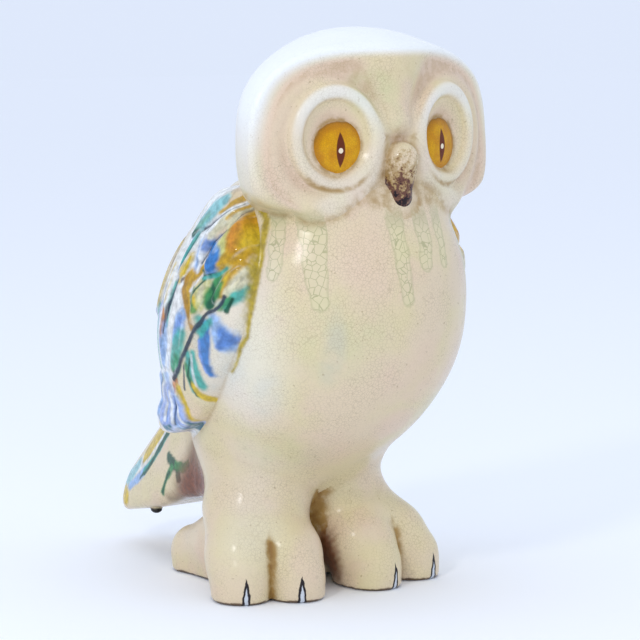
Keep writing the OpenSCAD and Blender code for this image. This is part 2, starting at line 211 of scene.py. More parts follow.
# Brush strokes on the wing, first to last: colour, strength, softness of the edge, then the points of its
# line, each (y, z, half-width)
WING_STROKES = [
    (WHITE, 0.85, 8, (24, 206, 8), (30, 184, 16), (44, 150, 18), (50, 118, 12), (52, 96, 14)),
    (PALE_BLUE, 0.75, 7, (62, 198, 5), (72, 170, 8), (74, 130, 9), (70, 100, 6)),
    (TURQUOISE, 0.8, 4, (80, 186, 3), (86, 156, 4), (86, 124, 4)),
    (YELLOW, 0.75, 3, (58, 200, 2.5), (65, 176, 2.5), (66, 152, 2)),
    (COBALT, 0.8, 2.5, (76, 178, 1.5), (79, 146, 2.4), (78, 116, 1.4)),
    (ORANGE, 0.6, 3, (70, 160, 1.5), (71, 140, 2.2), (69, 124, 1)),
    (TURQUOISE, 0.8, 3, (62, 150, 2), (62, 130, 3), (58, 114, 1.6)),
    (LILAC, 0.75, 4, (52, 160, 2.6), (52, 144, 3), (50, 128, 3)),
    (YELLOW, 0.85, 2.5, (44, 172, 1.8), (46, 164, 2.6), (47, 156, 1.6)),
    (TURQUOISE, 0.85, 2, (38, 164, 1.6), (41, 152, 1.8), (42, 143, 1.4)),
    (SLATE, 0.95, 1.2, (35, 167, 0.8), (41, 153, 1.6), (45, 140, 1.4), (49, 131, 0.6)),
    (ORANGE, 0.95, 1.6, (46, 150, 1.2), (47, 144, 2.2), (48, 138, 1.6)),
    (WHITE, 0.85, 1.4, (42, 172, 1), (50, 150, 1.1), (52, 136, 1)),
    (PALE_BLUE, 0.85, 4, (44, 142, 2.4), (46, 128, 3.6), (52, 114, 4)),
    (WHITE, 0.9, 1.5, (36, 140, 1), (42, 130, 1.2), (48, 119, 1.2)),
    (PALE_BLUE, 0.9, 3, (22, 154, 2.5), (27, 146, 4.5), (31, 138, 3.5)),
    (LILAC, 0.85, 2.5, (25, 148, 1.8), (29, 141, 2)),
    (TURQUOISE, 0.9, 3.5, (25, 140, 3), (29, 134, 4.5), (34, 124, 4)),
    (GREEN, 0.7, 4, (31, 127, 1.8), (36, 119, 2.4)),
    (TURQUOISE, 0.95, 2, (17, 131, 1.6), (17, 124, 2.8), (15, 115, 2.2)),
    (TURQUOISE, 0.95, 2, (21, 130, 1.6), (22, 120, 3), (22, 112, 2)),
    (GREEN, 0.85, 2, (24, 124, 1.4), (23, 116, 1.6), (20, 109, 1.4)),
    (DARK_GREEN, 0.9, 1, (20, 128, 0.4), (24, 118, 0.8), (21, 109, 1.1)),
    (WHITE, 0.7, 1.5, (18, 130, 0.6), (19, 120, 1), (19, 114, 0.7)),
    (SLATE, 0.9, 0.8, (26, 124, 0.4), (28, 117, 0.6), (30, 111, 0.8)),
    (ORANGE, 0.95, 2, (38, 115, 2), (41, 110, 2.6)),
    (YELLOW, 1.0, 1.6, (37, 110, 2.2), (35, 103, 2.2), (34, 95, 1.8)),
    (YELLOW, 0.95, 1.6, (21, 113, 1.6), (17, 107.5, 2.2)),
    (PALE_BLUE, 0.9, 4, (42, 104, 4), (42, 92, 5)),
    (FAN_BLUE, 0.95, 4, (52, 106, 6), (54, 92, 7), (66, 96, 6)),
    (FAN_BLUE, 0.9, 3, (40, 101, 3), (38, 92, 4)),
    (PALE_BLUE, 0.85, 3, (70, 108, 5), (74, 94, 5)),
    (WHITE, 0.95, 1.2, (43, 106, 0.6), (41, 98, 0.9), (38, 91, 0.7)),
    (WHITE, 0.95, 1.2, (48, 107, 0.6), (48, 98, 1), (47, 91, 0.8)),
    (WHITE, 0.95, 1.2, (56, 107, 0.6), (57, 98, 1), (58, 91, 0.8)),
    (WHITE, 0.9, 1.2, (64, 107, 0.6), (66, 98, 1), (67, 92, 0.7)),
    (LILAC, 0.85, 1.6, (45, 104, 0.8), (44, 92, 1.3)),
    (LILAC, 0.85, 1.6, (53, 104, 0.8), (53, 91, 1.4)),
    (TEAL, 0.9, 1.4, (36, 92, 0.6), (39, 88, 1.4), (44, 87, 0.8)),
    (TEAL, 0.9, 1.4, (50, 89, 0.8), (54, 87, 1.4), (60, 87, 0.8)),
    (SLATE, 0.7, 4, (62, 116, 3), (66, 105, 3.4)),
    (WHITE, 0.95, 1.3, (40, 117, 0.7), (50, 119, 0.9), (62, 116, 0.9)),
    (PALE_BLUE, 0.9, 3, (1, 150, 2.4), (-3, 143, 4.6), (-4, 137, 3.4)),
    (BLUE, 0.85, 2.5, (-4, 144, 1.6), (-6, 139, 2.4), (-2, 136, 1.6)),
    (COBALT, 0.95, 2, (6, 146, 2.8), (7, 138, 3.8), (8, 129, 2.6), (7, 121, 1.2)),
    (LILAC, 0.8, 1.6, (11, 138, 0.8), (11, 130, 1), (9, 122, 0.6)),
    (TURQUOISE, 0.9, 2.5, (10, 148, 2.4), (10, 143, 2.4), (3, 148, 1.6)),
    (TURQUOISE, 0.95, 2, (-13, 166, 1.4), (-10, 162, 3.4), (-6, 157, 2.4)),
    (GREEN, 0.85, 2, (-8, 160, 1.2), (-3, 156, 2)),
    (DARK_GREEN, 0.95, 1, (-10, 160, 0.5), (-7, 154, 1.3)),
    (PALE_BLUE, 0.85, 2.5, (33, 190, 2.4), (34, 180, 3), (37, 172, 1.6)),
    (TURQUOISE, 0.9, 2, (28, 189, 1.6), (32, 183, 2.4), (35, 176, 1.6)),
    (WHITE, 0.9, 1.2, (36, 190, 0.7), (38, 180, 0.9), (40, 170, 0.7)),
    (YELLOW, 1.0, 2, (27, 178, 2.2), (30, 172, 3.4), (33, 167, 1.4)),
    (BROWN, 0.85, 0.8, (16, 175, 0.4), (22, 171, 0.6), (31, 166, 0.6)),
    (MUSTARD, 1.0, 1.8, (14, 173, 2), (22, 169, 3.6), (25, 162, 3.2), (21, 155, 2.6), (17, 149, 2)),
    (OCHRE, 0.85, 1.8, (25, 168, 1.4), (27, 162, 1.8), (22, 155, 1.4), (16, 144, 1.5)),
    (YELLOW_GREEN, 0.9, 3, (8, 167, 3), (9, 162, 5.4), (11, 157, 3.4)),
    (PALE_CREAM, 0.85, 3, (9, 166, 2), (9, 161, 2.6)),
    (YELLOW, 0.95, 2, (15, 159, 1.6), (14, 154, 2.2)),
    (GREEN, 0.85, 1.8, (16, 165, 1), (18, 159, 1.4), (13, 153, 1.6)),
    (DARK_GREEN, 0.9, 0.9, (7, 169, 0.4), (14, 164, 0.6), (18, 157, 0.5)),
    (WHITE, 0.8, 1.2, (4, 171, 0.7), (12, 170, 0.7), (20, 162, 0.6)),
    (MUSTARD, 0.95, 2, (-11, 176, 2.6), (-7, 170, 3.4), (-4, 163, 2.4)),
    (YELLOW, 0.8, 2, (-6, 172, 1.4), (-4, 166, 1.4)),
    (GREEN, 1.0, 2.4, (0, 170, 2.6), (1, 164, 3.4), (4, 157, 2.8)),
    (DARK_GREEN, 0.9, 1.6, (3, 166, 0.8), (0, 161, 1.6), (4, 156, 1.8)),
    (GREEN, 0.9, 2, (-4, 168, 1), (-2, 162, 1.6)),
    (PALE_CREAM, 0.9, 1.6, (-13, 174, 1.6), (-11, 168, 2.2), (-7, 163, 1.4)),
    (SLATE, 0.95, 0.9, *SPINE),
    (YELLOW_GREEN, 0.95, 3, (2, 195, 2.4), (0, 187, 5.6), (-1, 178, 5.4)),
    (MUSTARD, 1.0, 2.5, (-6, 206, 4), (-8, 196, 7), (-8, 188, 6.5), (-8, 181, 4.5)),
    (MUSTARD, 0.95, 2, (-6, 182, 3), (0, 176, 2.2)),
    (YELLOW, 0.8, 3, (-10, 198, 1.5), (-11, 188, 2.4)),
    (ORANGE, 0.75, 4, (-3, 197, 1.6), (-3, 191, 2.6), (-6, 185, 1)),
    (PALE_CREAM, 0.7, 2, (1, 203, 1), (4, 196, 1.6), (5, 188, 1.2)),
    (PALE_BLUE, 0.95, 3, (22, 190, 2.4), (20, 182, 3.4), (19, 175, 2.4)),
    (WHITE, 0.9, 2, (20, 188, 0.9), (17, 181, 1.4), (17, 173, 1.2)),
    (BLUE, 0.8, 2.5, (14, 190, 1.6), (16, 184, 2)),
    (COBALT, 1.0, 2.6, (12, 186, 2), (7, 180, 6), (6, 175, 4.4)),
    (PALE_BLUE, 0.8, 2, (8, 189, 1.4), (5, 184, 1.2)),
    (DARK_GREEN, 0.85, 1, (13, 173, 0.5), (8, 171, 0.7), (0, 172, 0.6)),
    (TURQUOISE, 0.9, 1.2, (9, 169.5, 0.6), (2, 171, 1), (-4, 175, 0.8)),
    (WHITE, 0.95, 1.8, (0, 207, 1.8), (8, 201, 2.8), (17, 194, 3), (24, 190, 2)),
    (PALE_CREAM, 0.9, 1.6, (0, 204, 1.2), (8, 197, 2), (14, 190, 1.8)),
    (MUSTARD, 0.9, 1.2, (4, 209, 1.8), (9, 205, 1.4), (15, 201, 0.8)),
    (MUSTARD, 0.85, 1, (-1, 206, 0.8), (6, 199, 0.7)),
    # Painted highlight: a white band along the upper edge of the aqua leaf below.
    (WHITE, 0.9, 2.4, (18, 213, 2), (30, 206, 3), (40, 196, 3)),
    (AQUA, 1.0, 1.8, (14, 208, 2.2), (21, 203, 4.6), (30, 195, 4.2), (35, 190, 1.6)),
    (GREEN, 0.55, 3, (24, 199, 1.4), (33, 192, 2)),
    (DARK_GREEN, 0.9, 1.6, (31, 192, 0.6), (36, 189, 1.5)),
]
EDGE_LINE = [(-4, 207, 2.2), (-10, 200, 2), (-12.5, 190, 1.8), (-14.5, 180, 1.6), (-15, 168, 1.4),
             (-14.5, 156, 1.2), (-11, 142, 1.1), (-6, 132, 1), (0, 122, 0.6)]

# The tail is painted on its roof and down its right side, in (y, z) too
TAIL_STROKES = [
    (WHITE, 0.8, 3, (118, 80, 4), (150, 52, 4), (176, 34, 3)),
    (YELLOW, 1.0, 1.5, (128, 77, 3.4), (140, 64, 4.4), (150, 54, 3.4)),
    (AQUA, 0.95, 2, (158, 48, 3), (168, 40, 4), (177, 35, 3)),
    (PALE_BLUE, 0.95, 1.5, (140, 51, 1.4), (150, 43, 2.2), (164, 35, 2)),
    (TURQUOISE, 1.0, 1.2, (122, 71, 1.8), (134, 56, 1.8), (146, 46, 1.3)),
    (DARK_GREEN, 0.95, 1, (120, 74, 1.6), (128, 64, 1.6), (140, 49, 1), (150, 42, 0.5)),
    (YELLOW, 1.0, 1.6, (172, 31, 3.4), (167, 28, 4)),
    (YELLOW, 0.9, 1.4, (180, 33, 2), (178, 27, 2)),
    (DARK_GREEN, 0.95, 1.6, (114, 59, 2.4), (108, 56, 3.4), (104, 55, 2)),
    (GREEN, 0.9, 1.2, (110, 54, 2), (115, 46, 1.3), (119, 39, 1.5)),
    (DARK_GREEN, 0.9, 1, (112, 51, 1), (117, 43, 0.9), (119, 39, 1.1)),
    (DARK_GREEN, 0.95, 1, (102, 55, 1.8), (100, 49, 2)),
    (GREEN, 0.95, 1.2, (104, 56, 2), (95, 56, 2.2), (90, 59, 1.6)),
    (BLACK, 1.0, 0.8, (138, 23.4, 2.4), (143, 23.4, 2.4)),
    (RUST, 0.8, 12, (84, 74, 2), (84, 56, 7), (94, 44, 5)),
    (RUST, 0.6, 5, (92, 40, 4), (114, 36, 1.6)),
]


def stroke(y, z, line):
    """Signed distance from the edge of a brush stroke or a feather."""
    points = np.array(line, float)
    nearest = np.full(y.shape, FAR * 2)
    for (ay, az, ar), (by, bz, br) in zip(points[:-1], points[1:]):
        ey, ez = by - ay, bz - az
        t = np.clip(((y - ay) * ey + (z - az) * ez) / (ey * ey + ez * ez), 0, 1)
        nearest = np.minimum(nearest, np.hypot(y - ay - t * ey, z - az - t * ez) - ar - (br - ar) * t)
    return nearest


def brush(paint, distance, colour, strength, soft):
    """Lays a colour over the paint, which is red, green, blue and how much of it there is."""
    cover = strength * ease(soft * 0.5, -soft * 0.5, distance)
    total = cover + paint[:, 3] * (1 - cover)
    share = (cover / np.maximum(total, 1e-6))[:, None]
    paint[:, :3] = paint[:, :3] * (1 - share) + np.array(colour) * share
    paint[:, 3] = total


def feather_relief(y, z):
    """How far the wing's moulded feathers stand out."""
    height = 0
    for lift, line in FEATHERS:
        height = np.maximum(height, lift * ease(1.2, -3.2, stroke(y, z, line)))
    height = np.maximum(height, 0.9 * ease(0.8, -1.4, stroke(y, z, SPINE)))
    for line in GROOVES:
        height = height - 0.8 * ease(0.7, -1.2, stroke(y, z, line))
    return height


# ---------------------------------------------------------------------------- the clay form

# Body: height, how far back the centre lies, radius
BODY = [(50, 42, 28), (65, 41, 42), (80, 34, 54.5), (100, 26, 66), (125, 20.5, 74.5),
        (153, 16, 75.5), (175, 11.5, 70.5), (196, 8, 61), (215, 5, 53)]
SKULL = (0, -11, 246)
SKULL_R = (76, 50, 48)
FACE_Y = -47
FACE_Z, FACE_R = 240.5, 41
FACE_TURN = math.radians(14)
EYE = (34.4, 233.8)
RING = (37.4, 240)
WING_T = 8
WING_OUTLINE = smooth_loop([(2, 206), (-10, 190), (-14, 170), (-10, 145), (4, 120), (24, 99), (45, 87),
                            (68, 82), (86, 87), (93, 105), (90, 132), (80, 160), (62, 190), (38, 210),
                            (14, 213)])
# Front toes: where each ends, and where it leaves its leg
TOES = {"outer_toe_left": ((54, 5.4), (34, 36)), "inner_toe_left": ((22, -0.6), (21, 33)),
        "outer_toe_right": ((-53, 16.4), (-38, 37)), "inner_toe_right": ((-27, 3.4), (-24, 34))}
TOE_R = 15
# The vent hole under the body, and a drop of dark glaze that hangs under the tail
VENT_Y, VENT_R, VENT_TOP = 62, 6, 84
DROP = (-17, 140, 25.2)


def body_clay(x, y, z):
    radius = through(z, BODY, 2)
    d = (np.hypot(x, y - through(z, BODY, 1)) / radius - 1) * radius * 0.93
    return soft_max(soft_max(d, z - 216, 8), 54 - z, 20)


def tail_clay(x, y, z):
    roof = (y - 159 + z - 63) * 0.707 + x * x / 24
    under = 39 - 0.2 * (y - 95) - 4.2 * ease(100, 135, y) - z
    side = np.abs(x) - np.interp(y, [80, 180], [34, 19])
    d = soft_max(soft_max(roof, side, 12), under, 9)
    d = soft_max(d, y - 184 + x * x / 40, 9)
    d = soft_max(soft_max(d, 70 - y, 8), z - 125, 8)
    return soft_min(d, ellipsoid(x, y, z, DROP, (3.3, 3.3, 2.4)), 1)


def leg_clay(x, y, z, side):
    return roll(x * side, y, z, (24, 40, 75), (25.5, 38, 26), 27, 25.5)


def toe_clay(x, y, z, name):
    (end_x, end_y), (root_x, root_y) = TOES[name]
    z = soft_max(z, 9, 14)
    knuckle = (end_x + (root_x - end_x) * 0.32, end_y + (root_y - end_y) * 0.32, 22)
    back = roll(x, y, z, (root_x, root_y, 42), knuckle, 19, 17)
    front = roll(x, y, z, knuckle, (end_x, end_y, 12), 17, TOE_R)
    return soft_min(back, front, 8)


def hind_clay(x, y, z, side):
    return roll(x * side, y, soft_max(z, 6, 8), (23, 58, 21), (25, 92, 11), 21, 14)


def face_axes(x, y):
    """Distance outward along the face from the middle, and height above it, on either half."""
    ax = np.sqrt(x * x + 36) - 0.5
    c, s = math.cos(FACE_TURN), math.sin(FACE_TURN)
    return ax * c + (y - FACE_Y) * s, ax * s - (y - FACE_Y) * c


def face_edge(x, u, z):
    """Below 1 within the face's outline, which is narrower on the owl's right cheek."""
    lobe = np.where(z > FACE_Z, 3.0, 4.0)
    wide = 78 + 4 * ease(262, 230, z) - 4 * ease(10, 50, -x)
    return (np.abs(u / wide) ** lobe + np.abs((z - FACE_Z) / FACE_R) ** lobe) ** (1 / lobe)


def head_clay(x, y, z, u, w):
    """The head, and the hollow that holds an eye; w is the height above the face."""
    narrow = 1 - 0.0046 * np.clip(y + 26, 0, 60)
    rise = np.where(z > SKULL[2], SKULL_R[2], 110)
    q = np.sqrt((x / (SKULL_R[0] * narrow)) ** 2 + ((y - SKULL[1]) / SKULL_R[1]) ** 2
                + ((z - SKULL[2]) / rise) ** 2)
    draw_in = 0.3 - 0.17 * ease(10, 50, -x)
    mask = soft_max((face_edge(x, u, z) - 1) * FACE_R - draw_in * w, -40 - w, 16)
    d = soft_max(soft_min((q - 1) * 46, mask, 12), w, 6.5)
    d = soft_max(d, 202 - z, 14)
    valley = np.hypot(oval(u, z, (40.5, 241), (32, 31.5)), w - 9) - 12
    d = soft_max(d, -valley, 5)
    fade = ease(-0.3, 0.9, (z - 238) / 33 - (20 - u) / 26)
    jaw = np.hypot(oval(u, z, (43, 237.5), (26.5, 29.5)), w + 4.2) - 8.4 + 6 * fade
    d = soft_min(d, jaw, 6)
    dish = ellipsoid(u, z, w, (RING[0] - 1, RING[1] - 1, 9), (19.5, 21, 13))
    return d, dish


def ring_clay(u, z, w):
    return np.hypot(oval(u, z, RING, (20.8, 22.6)), w + 0.2) - 3.9


def eye_clay(u, z, w):
    return ellipsoid(u, z, w, (EYE[0], EYE[1], -4.2), (15.4, 15.6, 5.6))


def brow_clay(x, y, z):
    return roll(x * 0.78, y, z, (0, -30, 271), (0, -43, 247.5), 16, 5.8)


def beak_clay(x, y, z):
    return roll(x, y, z, (0, -46.6, 228.4), (-1.2, -46, 209.8), 8.7, 6.6)


def wing_clay(x, y, z):
    centre = through(np.maximum(z, 95), BODY, 1) + np.clip(110 - z, 0, 30) * 0.35
    radius = through(np.maximum(z, 100), BODY, 2)
    d = (np.hypot(x, y - centre) - radius - WING_T) * 0.93
    d = d - feather_relief(y, z)
    d = soft_max(d, outline(y, z, WING_OUTLINE), 7)
    return soft_max(d, 25 - np.abs(x), 4)


def clay(points):
    """Distance to each piece's own clay, and to the whole blended form."""
    x, y, z = points
    own = {name: np.full(x.shape, FAR) for name in PIECES}
    own["body_shell"] = body_clay(x, y, z)
    form = own["body_shell"].copy()
    low = z < 135
    xl, yl, zl = x[low], y[low], z[low]
    if low.any():
        part = form[low]
        own["tail"][low] = tail_clay(xl, yl, zl)
        part = soft_min(part, own["tail"][low], 9)
        for side, hand in ((1, "left"), (-1, "right")):
            own["leg_" + hand][low] = leg_clay(xl, yl, zl, side)
            own["hind_toe_" + hand][low] = hind_clay(xl, yl, zl, side)
        legs = soft_min(own["leg_left"][low], own["leg_right"][low], 7)
        part = soft_min(part, legs, 21)
        feet = FAR
        for name in TOES:
            own[name][low] = toe_clay(xl, yl, zl, name)
        for hand in ("left", "right"):
            outer, inner = own["outer_toe_" + hand][low], own["inner_toe_" + hand][low]
            feet = np.minimum(feet, soft_min(outer, inner, 2 + 16 * ease(26, 44, zl)))
        part = soft_min(part, feet, 7)
        hind = np.minimum(own["hind_toe_left"][low], own["hind_toe_right"][low])
        form[low] = soft_min(part, hind, 5)
    high = z > 180
    if high.any():
        xh, yh, zh = x[high], y[high], z[high]
        u, w = face_axes(xh, yh)
        head, dish = head_clay(xh, yh, zh, u, w)
        ring = ring_clay(u, zh, w)
        eye = eye_clay(u, zh, w)
        own["head_shell"][high] = soft_max(head, -dish, 3)
        own["brow_wedge"][high] = brow_clay(xh, yh, zh)
        own["beak"][high] = beak_clay(xh, yh, zh)
        for side, hand in ((1, "left"), (-1, "right")):
            here = xh * side > 0
            own["eye_ring_" + hand][high] = np.where(here, ring, FAR)
            own["eye_" + hand][high] = np.where(here, eye, FAR)
        face = soft_min(head, ring, 2.5)
        face = soft_max(face, -dish, 3)
        face = soft_min(face, own["brow_wedge"][high], 5)
        part = soft_min(form[high], face, 6)
        part = soft_min(part, own["beak"][high], 1.5)
        form[high] = soft_min(part, eye, 0.8)
    flank = (np.abs(x) > 15) & (z > 65) & (z < 225)
    if flank.any():
        wing = wing_clay(x[flank], y[flank], z[flank])
        right = x[flank] < 0
        own["wing_left"][flank] = np.where(right, FAR, wing)
        own["wing_right"][flank] = np.where(right, wing, FAR)
        form[flank] = soft_min(form[flank], wing, 2)
    vent = np.maximum(np.hypot(x, y - VENT_Y) - VENT_R, z - VENT_TOP)
    form = soft_max(form, -vent, 1.5)
    return own, soft_max(form, -z, 3)


# Every piece: the size of its mesh's cells and its own box to search, in stance mm
PIECES = {
    "body_shell": (1.2, ((-80, -64, 45), (80, 98, 226))),
    "head_shell": (1.0, ((-82, -62, 190), (82, 48, 300))),
    "brow_wedge": (0.8, ((-22, -58, 232), (22, -10, 294))),
    "beak": (0.6, ((-14, -66, 200), (14, -30, 246))),
    "eye_ring_left": (0.7, ((8, -58, 206), (74, -18, 274))),
    "eye_ring_right": (0.7, ((-74, -58, 206), (-8, -18, 274))),
    "eye_left": (0.5, ((18, -52, 217), (56, -24, 254))),
    "eye_right": (0.5, ((-56, -52, 217), (-18, -24, 254))),
    "wing_left": (0.7, ((18, -26, 70), (92, 104, 220))),
    "wing_right": (0.7, ((-92, -26, 70), (-18, 104, 220))),
    "tail": (1.0, ((-44, 62, 10), (44, 200, 134))),
    "leg_left": (1.2, ((-6, 4, -2), (60, 74, 110))),
    "leg_right": (1.2, ((-60, 4, -2), (6, 74, 110))),
    "outer_toe_left": (1.0, ((10, -20, -2), (76, 62, 68))),
    "inner_toe_left": (1.0, ((-6, -22, -2), (46, 60, 68))),
    "outer_toe_right": (1.0, ((-76, -8, -2), (-10, 62, 68))),
    "inner_toe_right": (1.0, ((-48, -18, -2), (6, 60, 68))),
    "hind_toe_left": (1.0, ((-2, 34, -2), (52, 116, 42))),
    "hind_toe_right": (1.0, ((-52, 34, -2), (2, 116, 42))),
}
LAP = 2.0


def piece_field(points, name):
    """The piece: the form, cut where another piece's clay is nearer, with a lap under its neighbour."""
    own, form = clay(points)
    others = np.min([d for other, d in own.items() if other != name], axis=0)
    beyond = own[name] - others
    return np.maximum(form + 0.3 * np.clip(beyond, 0, 3), beyond - LAP)


# ---------------------------------------------------------------------------- colour by place

# Where one part's clay meets another's, glaze pools and darkens: the pair, how wide and how strong
CREASES = [
    (("leg_left", "leg_right"), 12, 0.9), (("outer_toe_left", "inner_toe_left"), 6, 0.6),
    (("outer_toe_right", "inner_toe_right"), 6, 0.85), (("leg_left", "outer_toe_left"), 3, 0.12),
    (("leg_left", "hind_toe_left"), 4, 0.2), (("leg_right", "hind_toe_right"), 4, 0.2),
    (("inner_toe_left", "leg_right"), 14, 0.85), (("body_shell", "leg_left"), 5, 0.1),
    (("body_shell", "leg_right"), 5, 0.1), (("body_shell", "tail"), 4, 0.25),
    (("body_shell", "head_shell"), 5, 0.35), (("head_shell", "beak"), 7, 0.42),
    (("brow_wedge", "beak"), 6, 0.36), (("brow_wedge", "head_shell"), 2.5, 0.12),
    (("head_shell", "eye_left"), 2.4, 0.5), (("head_shell", "eye_right"), 2.4, 0.5),
    (("body_shell", "wing_left"), 2.5, 0.25), (("body_shell", "wing_right"), 2.5, 0.25),
]
# Runs and patches of the glaze, and two white patches of painted light on the owl's right flank: colour
# channel, strength, softness, centre and radii, in stance mm
PATCHES = [
    ("green", 0.75, 0.5, (-16, -42, 262), (15, 14, 12)), ("green", 0.5, 0.4, (-7, -46, 250), (8, 12, 9)),
    ("pink_and_shade", 0.5, 0.5, (5, -45, 259), (7, 10, 10)),
    ("green", 0.55, 0.6, (-38, -48, 140), (26, 30, 24)), ("grey", 0.55, 0.6, (-42, -46, 132), (6, 12, 24)),
    ("grey", 0.5, 0.6, (-60, -14, 106), (7, 12, 22)), ("green", 0.5, 0.6, (-44, 0, 78), (26, 22, 16)),
    ("pink_and_shade", 0.6, 0.7, (-26, -54, 176), (15, 20, 36)), ("pink_and_shade", 0.5, 0.6, (10, -52, 122), (14, 14, 20)),
    ("pink_and_shade", 0.7, 0.6, (9, -34, 92), (14, 14, 12)), ("pink_and_shade", 0.4, 0.6, (-54, -8, 94), (14, 14, 16)),
    ("pink_and_shade", 0.4, 0.6, (40, -46, 120), (20, 20, 30)), ("green", 0.5, 0.6, (46, -30, 96), (22, 22, 20)),
    ("green", 0.5, 0.6, (20, 88, 150), (30, 24, 36)), ("pink_and_shade", 0.5, 0.6, (-30, 84, 120), (24, 24, 30)),
    ("grey", 0.45, 0.6, (0, 92, 130), (6, 12, 30)), ("green", 0.4, 0.6, (-20, 30, 280), (30, 20, 20)),
    # The white patches on this line and the next are painted light on the owl's right flank, the side facing
    # the window light.
    ("pink_and_shade", 0.35, 0.6, (30, 34, 240), (26, 20, 26)), ("white_and_light", 0.4, 0.8, (-68, -6, 132), (22, 26, 56)),
    ("white_and_light", 0.25, 0.8, (-56, 6, 52), (22, 20, 34)), ("grey", 0.9, 0.6, (-80, 4, 126), (16, 20, 30)),
]
# Thick drips of greenish glaze down the chest and back: arc along the waist, in mm, height, half-width
DRIPS = [
    [(-60, 214, 9), (-56, 190, 7), (-54, 170, 5.5), (-52, 159, 4)],
    [(-78, 210, 6), (-76, 184, 4), (-77, 172, 2.6)],
    [(-10, 214, 6), (-9, 190, 5), (-8, 170, 4), (-6, 159, 3)],
    [(9, 214, 7), (9, 190, 5), (7, 176, 3.6)],
    [(26, 214, 6), (24, 190, 3.6), (22, 176, 2.6)],
    [(52, 214, 8), (54, 182, 5), (56, 162, 3.4)],
    [(150, 214, 8), (154, 184, 5), (152, 162, 3.4)],
    [(196, 214, 9), (200, 190, 5), (198, 174, 3.4)],
    [(-150, 214, 8), (-146, 190, 4.6), (-148, 176, 3)],
]
CHANNELS = {"green": 0, "pink_and_shade": 1, "grey": 2, "white_and_light": 3}
# The worst stain, on the inner side of the owl's left foot: centre and radii
DARK_STAIN = ((4, 17, 15), (8, 11, 15))
EYE_PIECES = {"eye_left": 1, "eye_right": -1}
CLAWS = {"outer_toe_left": (57, -9), "inner_toe_left": (25, -15), "outer_toe_right": (-60, 3),
         "inner_toe_right": (-34, -10)}


def reach_of(points, centre, radii):
    """Below 1 inside an ellipsoid."""
    return np.sqrt(sum(((p - c) / r) ** 2 for p, c, r in zip(points, centre, radii)))


def tones(points, own, name):
    """Greenish, pinkish and greyish glaze and the whiter glaze of the crown, each from 0 to 1; the white
    also carries painted light on the top of the head, the eye rings' crests and the owl's right flank, and
    the pink carries painted shade in the hollows round the rings.
    """
    x, y, z = points
    tone = np.zeros((len(x), 4))
    for channel, strength, soft, centre, radii in PATCHES:
        reach = reach_of(points, centre, radii)
        k = CHANNELS[channel]
        tone[:, k] = np.maximum(tone[:, k], strength * ease(1 + soft * 0.5, 1 - soft * 0.9, reach))
    u, w = face_axes(x, y)
    edge = face_edge(x, u, z)
    # Whiter glaze on the head outside the face, with painted light from above: it grows whiter towards the
    # top of the head.
    crown_and_light = np.maximum(ease(0.93, 1.06, edge), ease(-14, 4, y))
    crown_and_light = crown_and_light * ease(204, 224, z) * (0.3 + 0.7 * ease(212, 262, z))
    sockets = np.minimum(own["eye_ring_left"], own["eye_ring_right"]) < FAR
    # The eye rings' crests are whiter, most at the top: partly thinner glaze, partly a painted highlight.
    ridge_glaze_and_highlight = ease(1.2, 3.6, w) * sockets * (0.2 + 0.35 * ease(236, 258, z))
    if name.startswith("eye") or name == "head_shell":
        crown_and_light = np.maximum(crown_and_light, ridge_glaze_and_highlight)
    white_and_light, pink_and_shade = CHANNELS["white_and_light"], CHANNELS["pink_and_shade"]
    tone[:, white_and_light] = 0 if name == "beak" else np.maximum(tone[:, white_and_light], crown_and_light)
    # Painted shade: pinkish darkening in the hollows round each eye ring.
    hollow = sockets * ease(0.6, -2.4, w) * (w > -9) * ease(1.0, 0.93, edge)
    tone[:, pink_and_shade] = np.maximum(tone[:, pink_and_shade], 0.85 * hollow)
    return tone


def drips(points):
    """1 in the thick drips that hang below the neck."""
    x, y, z = points
    arc = np.arctan2(x, 16 - y) * 75
    wave = 1.4 * wobble(x, y, z, 14, 5)
    edge = np.min([stroke(arc + wave, z, line) for line in DRIPS], axis=0)
    return ease(0.6, -0.6, edge) * ease(207, 192, z)


def stains_and_shade(points, own):
    """Brown deposit along the creases, and painted shade in the valleys round the eye rings, from 0 to 1."""
    x, y, z = points
    total = np.zeros(len(x))
    for (first, second), width, strength in CREASES:
        gap = np.abs(own[first] - own[second])
        gap = np.where(np.minimum(own[first], own[second]) > 6, FAR, gap)
        if "toe" in first and "toe" in second:
            gap = gap + 8 * ease(28, 44, z)
        total = np.maximum(total, strength * ease(width, 0, gap))
    u, w = face_axes(x, y)
    socket = np.abs(oval(u, z, (RING[0], RING[1] - 0.5), (23.6, 25.6)))
    sockets = np.minimum(own["eye_ring_left"], own["eye_ring_right"]) < FAR
    under = ease(2.6, 0, socket) * ease(228, 216, z) * sockets * (w > -6)
    corner = ease(8, 0, np.hypot(np.abs(x) - 18, z - 208)) * ease(-30, -38, y)
    total = np.maximum(total, 0.5 * under)
    total = np.maximum(total, 0.4 * corner)
    chin = ease(9, 0, np.hypot(np.abs(x) - 9, (z - 214) * 0.4)) * ease(-36, -42, y)
    vent = ease(VENT_R + 1.5, VENT_R, np.hypot(x, y - VENT_Y)) * (z < VENT_TOP + 2) * (z > 40)
    # Painted shade in the valley between the face's rim and each eye ring.
    valley = ease(0, -2.4, w) * (w > -9) * sockets * (face_edge(x, u, z) < 0.93)
    total = np.maximum(total, 0.22 * valley)
    return np.maximum(np.maximum(total, 0.3 * chin), vent)


